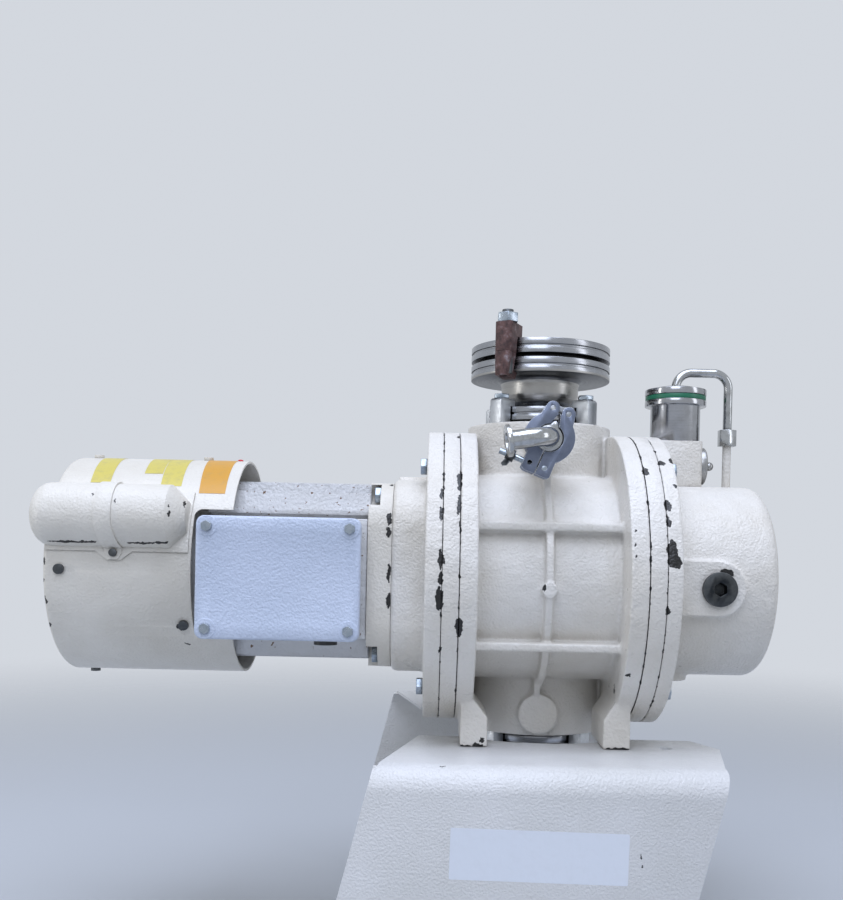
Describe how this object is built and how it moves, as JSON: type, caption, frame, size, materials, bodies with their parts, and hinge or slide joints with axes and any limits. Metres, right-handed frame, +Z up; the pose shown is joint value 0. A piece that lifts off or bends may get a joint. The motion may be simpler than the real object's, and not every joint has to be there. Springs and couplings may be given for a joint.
{
  "type": "roots vacuum pump",
  "caption": "Roots vacuum pump: two-lobe rotors in an oval casing, timing gears under a rounded cover, flange motor with fan cowl, blanked inlet stack, sheet-metal stand.",
  "frame": {"origin": "centre of the outlet's mouth, on the axis of the lower port", "axes": "+X along the rotor shafts from the motor to the gear cover, +Y from the driving rotor to the idle rotor, +Z up"},
  "size_m": [0.609, 0.418, 0.5741],
  "materials": {
    "casing_paint": "satin, fine orange peel",
    "stand_paint": "satin",
    "motor_paint": "satin",
    "steel": "turned and brushed",
    "zinc": "zinc plated",
    "clamp_alloy": "blasted and dulled",
    "worn_iron": "rusted",
    "rubber": "matt",
    "green_rubber": "satin",
    "iron": "machined",
    "hard_steel": "ground",
    "laminations": "oiled",
    "black_plastic": "matt"
  },
  "bodies": {
    "pump": {"stand_front_panel": "stand_paint", "stand_rear_panel": "stand_paint", "stand_bolts": "zinc", "rotor_casing": "casing_paint", "drive_end_plate": "casing_paint", "gear_end_plate": "casing_paint", "plate_seals": "rubber", "drive_cover": "casing_paint", "gear_cover": "casing_paint", "cover_screws": "zinc", "rotor_bearings": "hard_steel", "shaft_seals": "rubber", "oil_plug": "black_plastic", "outlet_flange": "steel", "inlet_adapter": "steel", "centring_rings": "rubber", "blank_flange": "steel", "single_claws": "steel", "claw_bolts": "zinc", "double_claw": "worn_iron", "claw_stud": "zinc", "purge_port": "steel", "purge_elbow": "steel", "clamp_fixed_half": "clamp_alloy", "clamp_link": "steel", "vent_block": "casing_paint", "side_disc": "steel", "canister": "steel", "canister_lid": "steel", "canister_oring": "green_rubber", "vent_tube": "steel", "vent_riser": "casing_paint", "motor_housing": "motor_paint", "motor_flange": "motor_paint", "motor_bolts": "zinc", "motor_rear_shield": "motor_paint", "stator": "laminations", "motor_bearings": "hard_steel", "fan_cowl": "motor_paint", "motor_screws": "motor_paint", "capacitor_cover": "motor_paint", "capacitor": "black_plastic", "cover_strap": "motor_paint", "terminal_box": "motor_paint", "terminal_lid": "motor_paint", "gland_plug": "black_plastic", "terminal_board": "black_plastic"},
    "drive_rotor": {"drive_rotor": "iron", "drive_gear": "hard_steel", "pump_coupling_hub": "iron"},
    "idle_rotor": {"idle_rotor": "iron", "idle_gear": "hard_steel", "oil_slinger": "hard_steel"},
    "motor_rotor": {"motor_rotor": "laminations", "cooling_fan": "black_plastic", "motor_coupling_hub": "iron", "coupling_spider": "rubber"},
    "clamp_half": {"clamp_swing_half": "clamp_alloy"},
    "swing_bolt": {"swing_bolt": "zinc"},
    "wing_nut": {"wing_nut": "zinc"}
  },
  "joints": [
    {"name": "drive_rotor_spin", "type": "hinge", "parent": "pump", "child": "drive_rotor", "pos_m": [0, -0.05, 0.181], "axis": [1, 0, 0], "continuous": true},
    {"name": "idle_rotor_spin", "type": "hinge", "parent": "pump", "child": "idle_rotor", "pos_m": [0, 0.05, 0.181], "axis": [1, 0, 0], "continuous": true},
    {"name": "motor_spin", "type": "hinge", "parent": "pump", "child": "motor_rotor", "pos_m": [-0.2, -0.05, 0.181], "axis": [1, 0, 0], "continuous": true},
    {"name": "clamp_open", "type": "hinge", "parent": "pump", "child": "clamp_half", "pos_m": [0.00934, -0.1393, 0.3145], "axis": [0, -1, 0], "range_deg": [0, 40]},
    {"name": "bolt_swing", "type": "hinge", "parent": "clamp_half", "child": "swing_bolt", "pos_m": [-0.00933, -0.1393, 0.27092], "axis": [0, -1, 0], "range_deg": [0, 80]},
    {"name": "wing_nut_spin", "type": "hinge", "parent": "swing_bolt", "child": "wing_nut", "pos_m": [-0.03505, -0.1393, 0.28121], "axis": [-0.9285, 0, 0.3714], "continuous": true}
  ],
  "couplings": [
    {"joint": "idle_rotor_spin", "follows": "drive_rotor_spin", "ratio": -1},
    {"joint": "motor_spin", "follows": "drive_rotor_spin", "ratio": 1},
    {"joint": "bolt_swing", "follows": "clamp_open", "ratio": 2}
  ]
}
